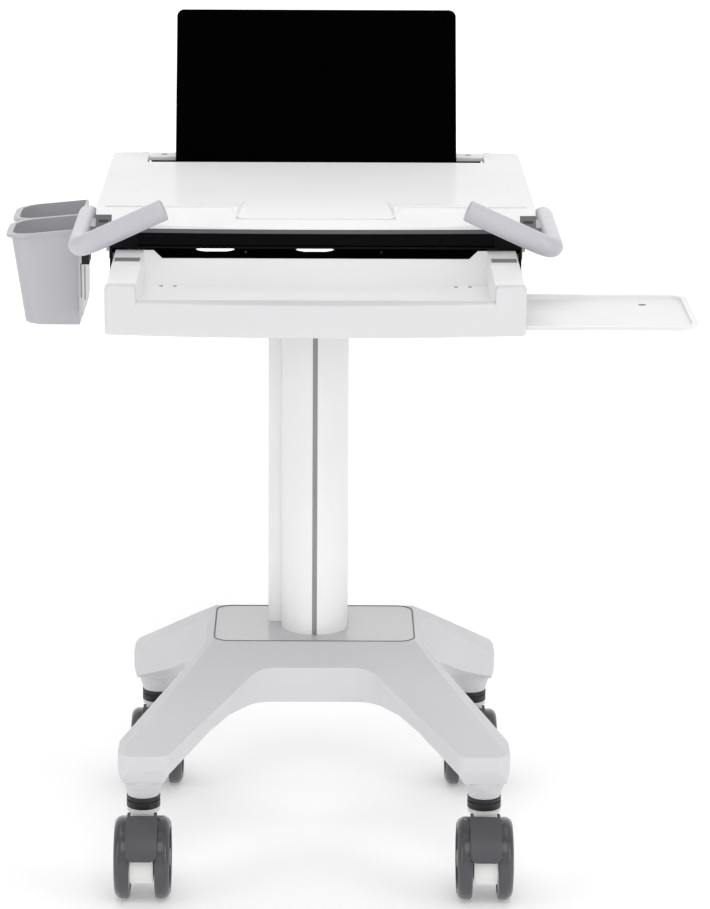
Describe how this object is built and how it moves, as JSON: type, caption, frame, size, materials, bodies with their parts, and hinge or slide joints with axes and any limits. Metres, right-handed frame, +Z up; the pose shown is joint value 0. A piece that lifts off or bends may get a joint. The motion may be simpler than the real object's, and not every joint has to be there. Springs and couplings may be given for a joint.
{
  "type": "medication cart",
  "caption": "Mobile medication cart: braked twin-wheel casters, telescopic column, lifting worktop over a laptop compartment, pull-out drawer with sliding side tray, hook-on bins.",
  "frame": {"origin": "on the floor, midway between the four caster stems", "axes": "X to the user's right, Y away from the user, Z up"},
  "size_m": [0.8034, 0.6725, 1.0236],
  "materials": {
    "wheel_grey": "dark grey solid wheels",
    "fork_white": "white caster body",
    "pedal_dark": "dark grey brake pedal",
    "socket_dark": "dark caster socket ring",
    "base_grey": "light grey moulded base",
    "plate_grey": "glossy light grey cover plate",
    "steel_frame": "hidden steel frame",
    "column_white": "white coated aluminium column",
    "groove_dark": "dark insert",
    "mast_metal": "satin aluminium mast",
    "spring_steel": "steel gas spring and slides",
    "duct_white": "white cable duct",
    "housing_black": "black powder coat",
    "panel_dark": "dark bluish gloss panel",
    "top_white": "glossy white worktop",
    "trim_grey": "grey edge lip",
    "latch_metal": "grey metal latch",
    "handle_grey": "light cool grey tube",
    "bracket_grey": "grey bracket",
    "screw_steel": "small screws",
    "drawer_white": "white drawer",
    "strip_grey": "grooved grey strip",
    "tray_white": "white side tray",
    "bin_grey": "light grey bin",
    "rail_metal": "aluminium rail",
    "clamp_black": "black clamp",
    "laptop_black": "black laptop case",
    "screen_black": "switched-off screen",
    "keys_black": "black keys"
  },
  "bodies": {
    "base": {"caster_sockets": "socket_dark", "leg_collars": "base_grey", "base_frame": "steel_frame", "base_shroud": "base_grey", "base_cover_plate": "plate_grey", "column_outer": "column_white", "column_groove_strip": "groove_dark", "column_glides": "socket_dark", "gas_spring_cylinder": "spring_steel", "cable_duct": "duct_white"},
    "head": {"column_inner": "mast_metal", "gas_spring_rod": "spring_steel", "head_plate": "steel_frame", "drawer_housing": "housing_black", "laptop_compartment": "housing_black", "front_panel": "panel_dark", "rear_rail": "top_white", "handle_left": "handle_grey", "handle_right": "handle_grey", "handle_caps": "handle_grey", "handle_brackets": "bracket_grey", "head_screws": "screw_steel", "slides_outer": "spring_steel", "bin_front": "bin_grey", "bin_rear": "bin_grey", "bin_rail": "rail_metal", "bin_clamp": "clamp_black", "laptop_base": "laptop_black", "laptop_keyboard": "keys_black"},
    "top": {"worktop": "top_white", "worktop_edge_trim": "trim_grey"},
    "latch_left_button": {"latch_left": "latch_metal"},
    "latch_right_button": {"latch_right": "latch_metal"},
    "lever": {"height_lever": "pedal_dark"},
    "drawer": {"drawer_body": "drawer_white", "drawer_fascia": "drawer_white", "arm_groove_strips": "strip_grey", "drawer_screws": "screw_steel", "slides_inner": "spring_steel", "side_tray_guides": "socket_dark"},
    "slide_members": {"slides_middle": "spring_steel"},
    "tray": {"side_tray": "tray_white"},
    "lid": {"laptop_lid": "laptop_black", "laptop_screen": "screen_black"},
    "caster_front_left_swivel": {"caster_front_left_fork": "fork_white"},
    "caster_front_left_wheel": {"caster_front_left_wheels": "wheel_grey", "caster_front_left_tyres": "wheel_grey"},
    "caster_front_left_brake": {"caster_front_left_pedal": "pedal_dark"},
    "caster_front_right_swivel": {"caster_front_right_fork": "fork_white"},
    "caster_front_right_wheel": {"caster_front_right_wheels": "wheel_grey", "caster_front_right_tyres": "wheel_grey"},
    "caster_front_right_brake": {"caster_front_right_pedal": "pedal_dark"},
    "caster_rear_left_swivel": {"caster_rear_left_fork": "fork_white"},
    "caster_rear_left_wheel": {"caster_rear_left_wheels": "wheel_grey", "caster_rear_left_tyres": "wheel_grey"},
    "caster_rear_left_brake": {"caster_rear_left_pedal": "pedal_dark"},
    "caster_rear_right_swivel": {"caster_rear_right_fork": "fork_white"},
    "caster_rear_right_wheel": {"caster_rear_right_wheels": "wheel_grey", "caster_rear_right_tyres": "wheel_grey"},
    "caster_rear_right_brake": {"caster_rear_right_pedal": "pedal_dark"}
  },
  "joints": [
    {"name": "height_lift", "type": "slide", "parent": "base", "child": "head", "axis": [0, 0, 1], "range_m": [0, 0.3]},
    {"name": "worktop_lift", "type": "hinge", "parent": "head", "child": "top", "pos_m": [0, 0.1845, 0.8375], "axis": [-1, 0, 0], "range_deg": [0, 38]},
    {"name": "latch_left_press", "type": "slide", "parent": "top", "child": "latch_left_button", "axis": [0, 1, 0], "range_m": [0, 0.0025], "stiffness_N_per_m": 1500},
    {"name": "latch_right_press", "type": "slide", "parent": "top", "child": "latch_right_button", "axis": [0, 1, 0], "range_m": [0, 0.0025], "stiffness_N_per_m": 1500},
    {"name": "height_lever_squeeze", "type": "hinge", "parent": "head", "child": "lever", "pos_m": [0, -0.112, 0.721], "axis": [-1, 0, 0], "range_deg": [0, 4], "stiffness_Nm_per_rad": 4, "springref_deg": -2.01},
    {"name": "drawer_slide", "type": "slide", "parent": "head", "child": "drawer", "axis": [0, 1, 0], "range_m": [0, 0.205]},
    {"name": "slide_members_follow", "type": "slide", "parent": "head", "child": "slide_members", "axis": [0, 1, 0], "range_m": [0, 0.1025]},
    {"name": "side_tray_slide", "type": "slide", "parent": "drawer", "child": "tray", "axis": [-1, 0, 0], "range_m": [0, 0.195]},
    {"name": "laptop_lid_tilt", "type": "hinge", "parent": "head", "child": "lid", "pos_m": [0, 0.1005, 0.813], "axis": [-1, 0, 0], "range_deg": [0, 20]},
    {"name": "front_left_swivel", "type": "hinge", "parent": "base", "child": "caster_front_left_swivel", "pos_m": [-0.207, -0.2055, 0.1066], "axis": [0, 0, 1], "continuous": true},
    {"name": "front_left_roll", "type": "hinge", "parent": "caster_front_left_swivel", "child": "caster_front_left_wheel", "pos_m": [-0.207, -0.2335, 0.05], "axis": [1, 0, 0], "continuous": true},
    {"name": "front_left_brake_press", "type": "hinge", "parent": "caster_front_left_swivel", "child": "caster_front_left_brake", "pos_m": [-0.207, -0.2335, 0.05], "axis": [1, 0, 0], "range_deg": [0, 12]},
    {"name": "front_right_swivel", "type": "hinge", "parent": "base", "child": "caster_front_right_swivel", "pos_m": [0.207, -0.2055, 0.1066], "axis": [0, 0, 1], "continuous": true},
    {"name": "front_right_roll", "type": "hinge", "parent": "caster_front_right_swivel", "child": "caster_front_right_wheel", "pos_m": [0.207, -0.2335, 0.05], "axis": [1, 0, 0], "continuous": true},
    {"name": "front_right_brake_press", "type": "hinge", "parent": "caster_front_right_swivel", "child": "caster_front_right_brake", "pos_m": [0.207, -0.2335, 0.05], "axis": [1, 0, 0], "range_deg": [0, 12]},
    {"name": "rear_left_swivel", "type": "hinge", "parent": "base", "child": "caster_rear_left_swivel", "pos_m": [-0.207, 0.2055, 0.1066], "axis": [0, 0, 1], "continuous": true},
    {"name": "rear_left_roll", "type": "hinge", "parent": "caster_rear_left_swivel", "child": "caster_rear_left_wheel", "pos_m": [-0.207, 0.1775, 0.05], "axis": [1, 0, 0], "continuous": true},
    {"name": "rear_left_brake_press", "type": "hinge", "parent": "caster_rear_left_swivel", "child": "caster_rear_left_brake", "pos_m": [-0.207, 0.1775, 0.05], "axis": [1, 0, 0], "range_deg": [0, 12]},
    {"name": "rear_right_swivel", "type": "hinge", "parent": "base", "child": "caster_rear_right_swivel", "pos_m": [0.207, 0.2055, 0.1066], "axis": [0, 0, 1], "continuous": true},
    {"name": "rear_right_roll", "type": "hinge", "parent": "caster_rear_right_swivel", "child": "caster_rear_right_wheel", "pos_m": [0.207, 0.1775, 0.05], "axis": [1, 0, 0], "continuous": true},
    {"name": "rear_right_brake_press", "type": "hinge", "parent": "caster_rear_right_swivel", "child": "caster_rear_right_brake", "pos_m": [0.207, 0.1775, 0.05], "axis": [1, 0, 0], "range_deg": [0, 12]}
  ],
  "couplings": [
    {"joint": "slide_members_follow", "follows": "drawer_slide", "ratio": 0.5}
  ]
}
